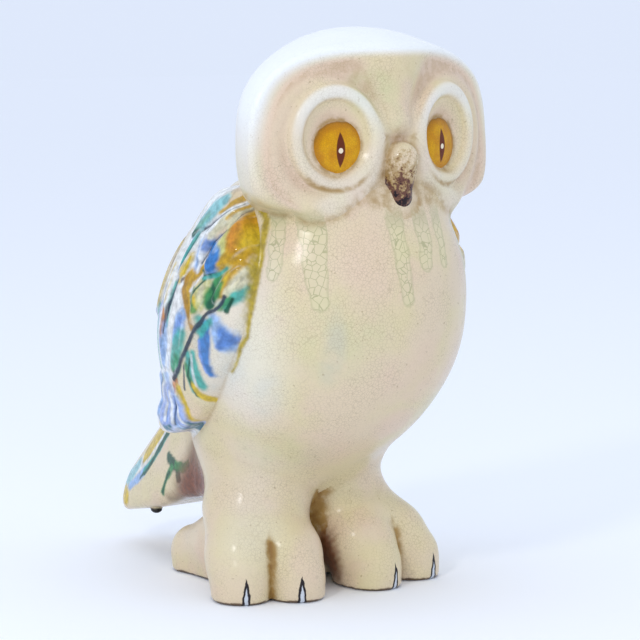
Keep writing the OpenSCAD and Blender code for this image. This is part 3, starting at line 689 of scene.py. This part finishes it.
def painted(points, name):
    """Brush-painted glaze, with painted highlights along the wing's feathers: red, green, blue and how much
    of it there is.
    """
    x, y, z = points
    paint = np.zeros((len(x), 4))
    sway, dip, rough = wobble(x, y, z, 12, 11), wobble(x, y, z, 12, 13), wobble(x, y, z, 3.5, 12)
    brush_y, brush_z = y + 0.8 * sway, z + 0.8 * dip
    strokes = WING_STROKES if name.startswith("wing") else TAIL_STROKES if name == "tail" else []
    shift = 1.5 if name == "wing_left" else 0
    for colour, strength, soft, *line in strokes:
        broad = min(max(half for _, _, half in line) / 2.5, 1)
        edge = stroke(brush_y + shift, brush_z - shift, line) + broad * (0.5 * rough - 0.5)
        brush(paint, edge, colour, strength, soft * (0.7 + 0.6 * broad))
    if name.startswith("wing"):
        for line in GROOVES:
            brush(paint, stroke(brush_y, brush_z, line) + 0.6, SLATE, 0.85, 0.9)
        for _, line in FEATHERS:
            rim = stroke(y, z, line)
            brush(paint, np.abs(rim - 0.2) - 0.1, SLATE, 0.4 * ease(-0.6, 0.5, sway), 1.3)
            # A white line just inside each feather's edge: partly glaze thinning on the crest, partly a
            # painted highlight.
            brush(paint, np.abs(rim + 1.3) - 0.2, WHITE, 0.45 * ease(-0.5, 0.6, dip), 1.4)
    if name.startswith("wing") or name == "body_shell":
        side = (np.abs(x) > 40) & (y < 30)
        distance = np.where(side, stroke(brush_y, brush_z, EDGE_LINE) + 0.3 * rough, FAR)
        brush(paint, distance, OLIVE_YELLOW, 0.92, 1.6)
    brush(paint, (reach_of(points, *DARK_STAIN) - 1) * 8 + 1.5 * sway + rough, MAROON, 0.92, 7)
    if name in ("tail", "body_shell"):
        root = np.hypot((y - 76) / 26, (z - 42) / 22)
        brush(paint, (root - 1) * 12, MAROON, 1, 12)
    return paint


def local_marks(points, name):
    """Place within an eye or on a claw, in mm: across and up. The third number isn't used."""
    x, y, z = points
    marks = np.full((len(x), 3), 99.0)
    if name in EYE_PIECES:
        u, w = face_axes(x, y)
        marks[:, 0] = (u - EYE[0]) * EYE_PIECES[name]
        marks[:, 1] = z - EYE[1]
    if name in CLAWS:
        (end_x, end_y), _ = TOES[name]
        ahead = np.array(CLAWS[name]) - (end_x, end_y)
        ahead = ahead / np.hypot(*ahead)
        forward = (x - end_x) * ahead[0] + (y - end_y) * ahead[1]
        across = (x - end_x) * ahead[1] - (y - end_y) * ahead[0]
        marks[:, 0] = np.where(forward > 4, across, 99)
        marks[:, 1] = z
    return marks


def add_attribute(mesh, name, kind, values):
    layer = mesh.attributes.new(name, kind, "POINT")
    field = "vector" if kind == "FLOAT_VECTOR" else "value" if kind == "FLOAT" else "color"
    layer.data.foreach_set(field, np.ascontiguousarray(values, np.float32).ravel())


def colour_piece(mesh, vertices, name):
    """Stores what the materials need to know about each place on the piece."""
    points = list(vertices.T)
    own, _ = clay(points)
    add_attribute(mesh, "tone", "FLOAT_COLOR", tones(points, own, name))
    add_attribute(mesh, "paint", "FLOAT_COLOR", painted(points, name))
    add_attribute(mesh, "drip", "FLOAT", drips(points))
    add_attribute(mesh, "stain_and_shade", "FLOAT", stains_and_shade(points, own))
    add_attribute(mesh, "marks", "FLOAT_VECTOR", local_marks(points, name))


# ---------------------------------------------------------------------------- materials

CREAM = (0.735, 0.60, 0.425, 1)
YELLOW_CREAM = (0.72, 0.615, 0.375, 1)
PINK_CREAM_AND_SHADE = (0.745, 0.565, 0.43, 1)
GREEN_CREAM = (0.62, 0.60, 0.34, 1)
GREY_CREAM = (0.56, 0.54, 0.44, 1)
CROWN_WHITE_AND_LIGHT = (0.87, 0.89, 0.88, 1)
CRACK_LINE = (0.30, 0.22, 0.12, 1)
DRIP_LINE = (0.33, 0.33, 0.16, 1)
OCHRE_DEPOSIT_AND_SHADE = (0.36, 0.215, 0.06, 1)
DEPOSIT = (0.22, 0.10, 0.025, 1)
DEEP_DEPOSIT = (0.075, 0.03, 0.012, 1)
SPECK = (0.30, 0.19, 0.09, 1)
CLAW_EDGE = (0.018, 0.013, 0.015, 1)
CLAW_WHITE = (0.60, 0.64, 0.70, 1)
EYE_YELLOW = (0.70, 0.36, 0.008, 1)
EYE_AMBER = (0.58, 0.25, 0.008, 1)
EYE_ORANGE = (0.46, 0.185, 0.01, 1)
EYE_RIM = (0.22, 0.11, 0.02, 1)
EYE_CRACK = (0.30, 0.13, 0.01, 1)
PUPIL = (0.13, 0.026, 0.008, 1)
PUPIL_DOT = (0.85, 0.74, 0.55, 1)
BEAK_OCHRE = (0.34, 0.21, 0.06, 1)
BEAK_MAROON = (0.11, 0.035, 0.03, 1)
BEAK_TIP = (0.018, 0.009, 0.012, 1)


class Recipe:
    """A material being put together from nodes."""

    def __init__(self, name):
        self.material = bpy.data.materials.new(name)
        self.material.use_nodes = True
        self.tree = self.material.node_tree
        self.shader = self.tree.nodes["Principled BSDF"]
        self.place = self.add("TexCoord").outputs["Object"]

    def put(self, socket, source):
        """Links a socket to another, or sets its value."""
        if isinstance(source, bpy.types.NodeSocket):
            self.tree.links.new(source, socket)
        elif source is not None:
            socket.default_value = source

    def add(self, kind, **settings):
        node = self.tree.nodes.new("ShaderNode" + kind)
        for key, value in settings.items():
            setattr(node, key, value)
        return node

    def attribute(self, name, output="Fac"):
        return self.add("Attribute", attribute_name=name).outputs[output]

    def math(self, operation, a, b=None, c=None):
        node = self.add("Math", operation=operation)
        for socket, source in zip(node.inputs, (a, b, c)):
            self.put(socket, source)
        return node.outputs[0]

    def ramp(self, value, low, high, start=0.0, end=1.0):
        """Smooth step from start to end as the value goes from low to high."""
        node = self.add("MapRange", interpolation_type="SMOOTHSTEP")
        for socket, source in zip(node.inputs, (value, low, high, start, end)):
            self.put(socket, source)
        return node.outputs[0]

    def times(self, a, b):
        return self.math("MULTIPLY", a, b)

    def less(self, a):
        """1 minus a."""
        return self.math("SUBTRACT", 1.0, a)

    def axes(self, vector):
        node = self.add("SeparateXYZ")
        self.put(node.inputs[0], vector)
        return node.outputs

    def mix(self, factor, a, b):
        node = self.add("Mix", data_type="RGBA")
        self.put(node.inputs[0], factor)
        self.put(node.inputs[6], a)
        self.put(node.inputs[7], b)
        return node.outputs[2]

    def noise(self, millimetres, detail=2.0, place=None, output="Fac"):
        """Cloudy noise whose clouds are about that far apart."""
        node = self.add("TexNoise")
        self.put(node.inputs["Vector"], place or self.place)
        node.inputs["Scale"].default_value = 1 / (millimetres * MM)
        node.inputs["Detail"].default_value = detail
        return node.outputs[output]

    def shifted(self, x, y, z):
        node = self.add("VectorMath", operation="ADD")
        self.put(node.inputs[0], self.place)
        node.inputs[1].default_value = (x, y, z)
        return node.outputs[0]

    def cracks(self, millimetres, width, wander=0.35):
        """Craze lines, 1 on a line, round cells of about that size."""
        jitter = self.add("VectorMath", operation="MULTIPLY_ADD")
        self.put(jitter.inputs[0], self.noise(millimetres * 1.3, 1.0, output="Color"))
        jitter.inputs[1].default_value = (millimetres * wander * MM,) * 3
        self.put(jitter.inputs[2], self.place)
        cells = self.add("TexVoronoi", feature="DISTANCE_TO_EDGE")
        self.put(cells.inputs["Vector"], jitter.outputs[0])
        cells.inputs["Scale"].default_value = 1 / (millimetres * MM)
        return self.ramp(cells.outputs["Distance"], width * 0.3, width, 1.0, 0.0)

    def bump(self, height, distance, strength=1.0, normal=None):
        node = self.add("Bump")
        node.inputs["Strength"].default_value = strength
        node.inputs["Distance"].default_value = distance * MM
        self.put(node.inputs["Height"], height)
        self.put(node.inputs["Normal"], normal)
        return node.outputs[0]

    def finish(self, colour, roughness=0.3, coat=0.6, coat_roughness=0.2, relief=None):
        """The glaze's gloss, with the slow unevenness that a dipped glaze dries with."""
        swell = self.bump(self.noise(16, 2.0), 0.35, 0.8)
        skin = self.bump(self.noise(2.6, 2.0), 0.03, 0.6, swell)
        self.put(self.shader.inputs["Base Color"], colour)
        uneven = self.ramp(self.noise(9), 0.3, 0.7, roughness, roughness + 0.14)
        self.put(self.shader.inputs["Roughness"], uneven)
        self.shader.inputs["Specular IOR Level"].default_value = 0.05
        self.shader.inputs["Coat Weight"].default_value = coat
        self.shader.inputs["Coat Roughness"].default_value = coat_roughness
        self.shader.inputs["Coat IOR"].default_value = 1.4
        self.put(self.shader.inputs["Coat Normal"], skin)
        self.put(self.shader.inputs["Normal"], self.bump(relief, 0.12, 0.5, skin) if relief else skin)
        return self.material


def cream(recipe):
    """Crackled cream glaze: its colour, and how deep its craze lines are."""
    mix, ramp, noise, times, less = recipe.mix, recipe.ramp, recipe.noise, recipe.times, recipe.less
    split = recipe.add("SeparateColor")
    tone = recipe.add("Attribute", attribute_name="tone")
    recipe.put(split.inputs[0], tone.outputs["Color"])
    green, pink_and_shade, grey = split.outputs[0], split.outputs[1], split.outputs[2]
    drip = recipe.attribute("drip")
    colour = mix(ramp(noise(38, 3.0), 0.38, 0.64), CREAM, YELLOW_CREAM)
    blush = ramp(noise(30, 3.0, recipe.shifted(3, 1, 2)), 0.5, 0.75, 0.0, 0.7)
    # Pinkish glaze, and the painted shade in the hollows round the eye rings.
    colour = mix(recipe.math("MAXIMUM", blush, pink_and_shade), colour, PINK_CREAM_AND_SHADE)
    cloud = ramp(noise(12, 3.0, recipe.shifted(1, 5, 2)), 0.35, 0.7, 0.35, 1.0)
    colour = mix(times(green, cloud), colour, GREEN_CREAM)
    colour = mix(times(grey, cloud), colour, GREY_CREAM)
    colour = mix(times(drip, 0.32), colour, GREEN_CREAM)
    # Whiter glaze of the crown, and painted light on the head's top, the eye rings' crests and the owl's
    # right flank.
    colour = mix(tone.outputs["Alpha"], colour, CROWN_WHITE_AND_LIGHT)
    dull = less(times(tone.outputs["Alpha"], 0.8))
    speck = ramp(noise(1.7, 1.0, recipe.shifted(7, 3, 1)), 0.70, 0.78, 0.0, 0.4)
    colour = mix(times(speck, dull), colour, SPECK)
    faint = ramp(noise(24, 2.0, recipe.shifted(2, 2, 6)), 0.35, 0.65, 0.08, 0.3)
    fine = times(recipe.cracks(1.7, 0.09), times(faint, dull))
    coarse = recipe.cracks(4.0, 0.05)
    colour = mix(times(fine, less(drip)), colour, CRACK_LINE)
    colour = mix(times(times(coarse, drip), 0.6), colour, DRIP_LINE)
    colour = mix(times(times(drip, less(drip)), 1.1), colour, DRIP_LINE)
    # Brown deposit in the creases, with painted shade in the valleys round the eye rings.
    stain_and_shade = times(recipe.attribute("stain_and_shade"), ramp(noise(5, 3.0), 0.3, 0.62, 0.45, 1.0))
    colour = mix(ramp(stain_and_shade, 0.0, 0.6, 0.0, 0.95), colour, OCHRE_DEPOSIT_AND_SHADE)
    colour = mix(ramp(stain_and_shade, 0.5, 1.0, 0.0, 0.8), colour, DEPOSIT)
    paint = recipe.add("Attribute", attribute_name="paint")
    rich = recipe.add("VectorMath", operation="SCALE")
    recipe.put(rich.inputs[0], paint.outputs["Color"])
    recipe.put(rich.inputs["Scale"], ramp(noise(3.2, 3.0, recipe.shifted(4, 4, 4)), 0.25, 0.75, 0.68, 1.15))
    colour = mix(paint.outputs["Alpha"], colour, rich.outputs[0])
    return colour, less(recipe.math("MAXIMUM", fine, coarse))


def sole_line(recipe, colour):
    """Bare dark edge where the foot was wiped clean of glaze."""
    ragged = recipe.times(recipe.noise(6, 3.0), 3.2 * MM)
    height = recipe.math("SUBTRACT", recipe.axes(recipe.place)[2], ragged)
    return recipe.mix(recipe.ramp(height, -0.6 * MM, 0.1 * MM, 0.85, 0.0), colour, DEEP_DEPOSIT)


def glaze_cream():
    recipe = Recipe("glaze_cream")
    colour, relief = cream(recipe)
    return recipe.finish(colour, relief=relief)


def glaze_wing():
    recipe = Recipe("glaze_wing")
    colour, relief = cream(recipe)
    return recipe.finish(colour, 0.25, 0.6, 0.06, relief)


def pointed(recipe, across, up, half_width, height):
    """Less than 1 inside a pointed arch."""
    side = recipe.math("DIVIDE", recipe.math("ABSOLUTE", across), half_width)
    rise = recipe.math("DIVIDE", recipe.math("ABSOLUTE", up), height)
    return recipe.math("ADD", side, recipe.math("POWER", rise, 2.0))


def glaze_feet():
    recipe = Recipe("glaze_feet")
    colour, relief = cream(recipe)
    across, up, _ = recipe.axes(recipe.attribute("marks", "Vector"))
    across = recipe.math("ADD", across, recipe.ramp(recipe.noise(4), 0.2, 0.8, -0.45, 0.45))
    outer = recipe.ramp(pointed(recipe, across, up, 2.3, 14.5), 0.9, 1.08, 1.0, 0.0)
    inner = recipe.ramp(pointed(recipe, across, up, 1.15, 9.8), 0.8, 1.1, 1.0, 0.0)
    colour = sole_line(recipe, colour)
    colour = recipe.mix(outer, colour, CLAW_EDGE)
    colour = recipe.mix(inner, colour, CLAW_WHITE)
    return recipe.finish(colour, relief=relief)


def glaze_eye():
    recipe = Recipe("glaze_eye")
    mix, ramp, math_node = recipe.mix, recipe.ramp, recipe.math
    cream_colour, _ = cream(recipe)
    across, up, _ = recipe.axes(recipe.attribute("marks", "Vector"))
    length = math_node("SQRT", math_node("ADD", recipe.times(across, across), recipe.times(up, up)))
    colour = mix(ramp(recipe.noise(6, 4.0), 0.3, 0.7), EYE_YELLOW, EYE_AMBER)
    warm = math_node("ADD", length, ramp(recipe.noise(5, 3.0), 0.2, 0.8, -0.4, 0.4))
    colour = mix(ramp(warm, 9.0, 13.0, 0.0, 0.85), colour, EYE_ORANGE)
    colour = mix(ramp(warm, 12.6, 14.4, 0.0, 0.8), colour, EYE_RIM)
    rays = recipe.cracks(1.2, 0.16)
    colour = mix(recipe.times(rays, 0.22), colour, EYE_CRACK)
    slit = ramp(pointed(recipe, across, up, 2.45, 9.0), 0.86, 1.06, 1.0, 0.0)
    colour = mix(slit, colour, PUPIL)
    dot = pointed(recipe, recipe.times(across, across), math_node("ADD", up, 0.4), 1.6, 1.35)
    colour = mix(ramp(dot, 0.8, 1.15, 1.0, 0.0), colour, PUPIL_DOT)
    colour = mix(ramp(warm, 13.8, 14.7), colour, cream_colour)
    return recipe.finish(colour, 0.3, 0.35, 0.08, rays)


def glaze_beak():
    recipe = Recipe("glaze_beak")
    colour, relief = cream(recipe)
    blotch = recipe.ramp(recipe.noise(3.4, 4.0), 0.2, 0.8, -9 * MM, 9 * MM)
    grain = recipe.ramp(recipe.noise(1.0, 3.0), 0.25, 0.75, -5 * MM, 5 * MM)
    height = recipe.math("ADD", recipe.axes(recipe.place)[2], recipe.math("ADD", blotch, grain))
    colour = recipe.mix(recipe.ramp(height, 235 * MM, 218 * MM, 0.0, 0.8), colour, BEAK_OCHRE)
    colour = recipe.mix(recipe.ramp(height, 221 * MM, 214 * MM, 0.0, 0.9), colour, BEAK_MAROON)
    colour = recipe.mix(recipe.ramp(height, 211 * MM, 207 * MM), colour, BEAK_TIP)
    return recipe.finish(colour, 0.3, 0.5, 0.1, relief)


MAKERS = (glaze_cream, glaze_wing, glaze_feet, glaze_eye, glaze_beak)
MATERIALS = {maker.__name__: maker() for maker in MAKERS}
# Legs and toes, which aren't listed, have glaze_feet
SLOTS = {"beak": "glaze_beak", "eye_left": "glaze_eye", "eye_right": "glaze_eye"}
SLOTS |= {name: "glaze_wing" for name in ("wing_left", "wing_right", "tail")}
SLOTS |= {name: "glaze_cream" for name in ("body_shell", "head_shell", "brow_wedge",
                                           "eye_ring_left", "eye_ring_right")}


# ---------------------------------------------------------------------------- meshing


def lattice_points(index, low, step):
    return [low[a] + index[a] * step for a in range(3)]


def surface(field, low, high, step):
    """Vertices and quads of the zero surface, from one vertex in each lattice cell that it crosses."""
    block = 4
    cells = [int(math.ceil((high[a] - low[a]) / (step * block))) * block for a in range(3)]
    coarse = np.indices([c // block for c in cells]).reshape(3, -1)
    middle = lattice_points(coarse * block + block / 2, low, step)
    near = np.abs(field(middle)) < step * block * 1.5
    values = np.full([c + 1 for c in cells], np.nan, np.float32)
    wanted = np.zeros(values.shape, bool)
    corner = coarse[:, near] * block
    for offset in np.ndindex(block + 1, block + 1, block + 1):
        wanted[tuple(corner[a] + offset[a] for a in range(3))] = True
    index = np.argwhere(wanted).T
    values[wanted] = field(lattice_points(index, low, step))
    corners = {o: values[tuple(slice(o[a], o[a] + cells[a]) for a in range(3))] for o in np.ndindex(2, 2, 2)}
    stack = np.stack(list(corners.values()))
    with np.errstate(invalid="ignore"):
        inside = stack < 0
        crossed = inside.any(0) & ~inside.all(0) & ~np.isnan(stack).any(0)
    del stack, inside
    cell = np.argwhere(crossed)
    at = {o: v[crossed] for o, v in corners.items()}
    total = np.zeros((len(cell), 3))
    count = np.zeros(len(cell))
    for o in np.ndindex(2, 2, 2):
        for axis in range(3):
            if o[axis]:
                continue
            end = tuple(1 if a == axis else o[a] for a in range(3))
            f0, f1 = at[o], at[end]
            cut = (f0 < 0) != (f1 < 0)
            t = np.where(cut, f0 / np.where(cut, f0 - f1, 1), 0)
            place = np.array(o, float)[None].repeat(len(cell), 0)
            place[:, axis] += t
            total += place * cut[:, None]
            count += cut
    vertices = (cell + total / count[:, None]) * step + np.array(low)
    number = np.full(cells, -1, np.int64)
    number[crossed] = np.arange(len(cell))
    quads = []
    for axis in range(3):
        b, c = (axis + 1) % 3, (axis + 2) % 3
        first = values[tuple(slice(0, cells[a]) if a == axis else slice(1, cells[a]) for a in range(3))]
        last = values[tuple(slice(1, cells[a] + 1) if a == axis else slice(1, cells[a]) for a in range(3))]
        with np.errstate(invalid="ignore"):
            cut = ((first < 0) != (last < 0)) & ~np.isnan(first) & ~np.isnan(last)
        edge = np.argwhere(cut)
        edge[:, b] += 1
        edge[:, c] += 1
        outward = first[cut] < 0
        ring = []
        for db, dc in ((1, 1), (0, 1), (0, 0), (1, 0)):
            spot = edge.copy()
            spot[:, b] -= db
            spot[:, c] -= dc
            ring.append(number[tuple(spot.T)])
        ring = np.stack(ring, 1)
        ring[~outward] = ring[~outward][:, ::-1]
        quads.append(ring[(ring >= 0).all(1)])
    return vertices, np.concatenate(quads)


def settle(vertices, field, step, passes=2):
    """Moves the vertices onto the surface itself."""
    for _ in range(passes):
        value = field(list(vertices.T))
        slope = np.stack([field([vertices[:, a] + (0.3 if a == axis else 0) for a in range(3)])
                          - field([vertices[:, a] - (0.3 if a == axis else 0) for a in range(3)])
                          for axis in range(3)], 1) / 0.6
        size = np.maximum((slope**2).sum(1), 0.25)
        move = -slope * (value / size)[:, None]
        vertices = vertices + np.clip(move, -0.4 * step, 0.4 * step)
    return vertices


def new_mesh(name, vertices, quads):
    mesh = bpy.data.meshes.new(name)
    mesh.vertices.add(len(vertices))
    mesh.vertices.foreach_set("co", np.ascontiguousarray(vertices, np.float32).ravel())
    mesh.loops.add(quads.size)
    mesh.loops.foreach_set("vertex_index", quads.ravel().astype(np.int32))
    mesh.polygons.add(len(quads))
    mesh.polygons.foreach_set("loop_start", np.arange(0, quads.size, 4, dtype=np.int32))
    mesh.update(calc_edges=True)
    mesh.validate()
    mesh.shade_smooth()
    return mesh


def make_piece(name):
    step, (low, high) = PIECES[name]

    def field(points):
        return piece_field(points, name)

    vertices, quads = surface(field, low, high, step)
    vertices = settle(vertices, field, step)
    placed = (vertices + np.array([0, STANCE_Y, 0])) * MM
    placed[:, 2] = np.maximum(placed[:, 2], 0)
    mesh = new_mesh("owl_" + name, placed, quads)
    colour_piece(mesh, vertices, name)
    slot = SLOTS.get(name, "glaze_feet")
    mesh.materials.append(MATERIALS[slot])
    piece = new_object("owl_" + name, mesh)
    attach(piece, "root")
    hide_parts(name)


# ---------------------------------------------------------------------------- camera, floor and light


CAMERA_DISTANCE, CAMERA_HEIGHT = 1.35, 0.305
CAMERA_TURN, CAMERA_PAN, CAMERA_DOWN = math.radians(-40), math.radians(0.46), math.radians(6.84)
FLOOR_COLOUR = (0.93, 0.945, 0.98, 1)
FLOOR_HALF, FLAT_HALF, FLOOR_RISE = 90, 8, 5
SKY_COLOUR = (0.80, 0.87, 1.0, 1)
# From in front of the camera to behind it, the room's light falls from the first to the second
BRIGHT, DIM = 1.06, 0.56
BEHIND_CAMERA = (-0.64, -0.76, 0.1)
LIGHT_TARGET = (0, 0, 0.17)
# Name, place, diameter, watts and whether the glaze mirrors it
LIGHTS = [("window", (-1.25, -0.62, 1.0), 0.22, 4.5, True), ("overhead", (-0.3, 0.1, 2.2), 1.6, 3.2, True),
          ("front", (-1.3, -1.9, 0.9), 1.4, 7, False)]


def new_object(name, data):
    thing = bpy.data.objects.new(name, data)
    bpy.context.scene.collection.objects.link(thing)
    return thing


def add_camera():
    camera = new_object("camera", bpy.data.cameras.new("camera"))
    camera.data.sensor_width = 36
    camera.data.lens = 147.9
    camera.location = (math.sin(CAMERA_TURN) * CAMERA_DISTANCE,
                       STANCE_Y * MM - math.cos(CAMERA_TURN) * CAMERA_DISTANCE, CAMERA_HEIGHT)
    camera.rotation_euler = (math.pi / 2 - CAMERA_DOWN, 0, CAMERA_TURN + CAMERA_PAN)
    bpy.context.scene.camera = camera


def add_stage():
    """A floor that rises gently far away, so that no edge shows against the background."""
    mesh = bpy.data.meshes.new("floor")
    lines = (-FLOOR_HALF, -FLAT_HALF, FLAT_HALF, FLOOR_HALF)
    corners = [(x, y, FLOOR_RISE if max(abs(x), abs(y)) > FLAT_HALF else 0) for y in lines for x in lines]
    mesh.from_pydata(corners, [], [(k, k + 1, k + 5, k + 4) for k in (0, 1, 2, 4, 5, 6, 8, 9, 10)])
    floor = new_object("floor", mesh)
    material = bpy.data.materials.new("floor")
    material.use_nodes = True
    shader = material.node_tree.nodes["Principled BSDF"]
    shader.inputs["Base Color"].default_value = FLOOR_COLOUR
    shader.inputs["Roughness"].default_value = 0.9
    shader.inputs["Specular IOR Level"].default_value = 0.1
    mesh.materials.append(material)


def add_lights():
    """A pale room, darker behind the camera, with a window-like light on the left and soft light above."""
    world = bpy.data.worlds.new("studio")
    bpy.context.scene.world = world
    world.use_nodes = True
    nodes, links = world.node_tree.nodes, world.node_tree.links
    facing = nodes.new("ShaderNodeVectorMath")
    facing.operation = "DOT_PRODUCT"
    links.new(nodes.new("ShaderNodeTexCoord").outputs["Generated"], facing.inputs[0])
    facing.inputs[1].default_value = BEHIND_CAMERA
    shade = nodes.new("ShaderNodeMapRange")
    shade.interpolation_type = "SMOOTHSTEP"
    for socket, value in zip(list(shade.inputs)[1:5], (0.45, 0.95, BRIGHT, DIM)):
        socket.default_value = value
    links.new(facing.outputs["Value"], shade.inputs["Value"])
    links.new(shade.outputs["Result"], nodes["Background"].inputs["Strength"])
    nodes["Background"].inputs["Color"].default_value = SKY_COLOUR
    for name, place, size, power, mirrored in LIGHTS:
        light = bpy.data.lights.new(name, "AREA")
        light.shape = "DISK"
        light.size = size
        light.energy = power
        lamp = new_object(name, light)
        lamp.visible_glossy = mirrored
        lamp.location = place
        aim = np.subtract(LIGHT_TARGET, place)
        flat = math.hypot(aim[0], aim[1])
        lamp.rotation_euler = (math.atan2(flat, -aim[2]), 0, math.atan2(-aim[0], aim[1]))


bpy.context.scene.view_settings.view_transform = "Standard"
add_camera()
add_stage()
add_lights()
for piece_name in PIECES:
    make_piece(piece_name)
